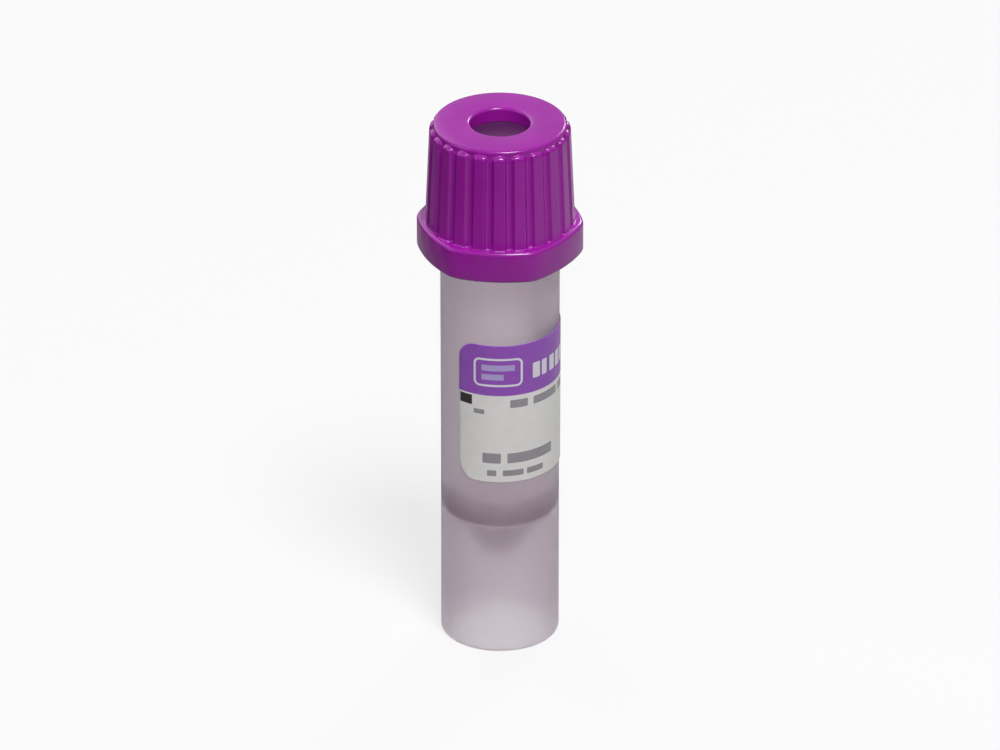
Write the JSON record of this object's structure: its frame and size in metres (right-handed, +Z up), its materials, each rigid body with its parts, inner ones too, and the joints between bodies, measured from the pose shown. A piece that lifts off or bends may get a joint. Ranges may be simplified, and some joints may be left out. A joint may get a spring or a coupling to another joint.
{
  "type": "capped blood collection tube",
  "caption": "Small translucent blood collection tube with a raised conical floor, a wrap label, and a purple fluted cap that holds a pierceable rubber stopper.",
  "frame": {"origin": "centre of the bottom ring that the tube stands on", "axes": "+Z up along the tube to the needle hole in the cap; the middle of the label faces -Y"},
  "size_m": [0.0178, 0.0172, 0.061],
  "materials": {
    "tube_plastic": "frosted translucent moulded plastic",
    "label_paper": "smooth white label film",
    "stopper_rubber": "matt dusky purple rubber",
    "cap_plastic": "glossy purple moulded plastic"
  },
  "bodies": {
    "tube_body": {"tube": "tube_plastic", "label": "label_paper"},
    "cap_body": {"cap": "cap_plastic", "stopper": "stopper_rubber"}
  },
  "joints": [
    {"name": "cap_lift", "type": "slide", "parent": "tube_body", "child": "cap_body", "axis": [0, 0, 1], "range_m": [0, 0.02]}
  ]
}
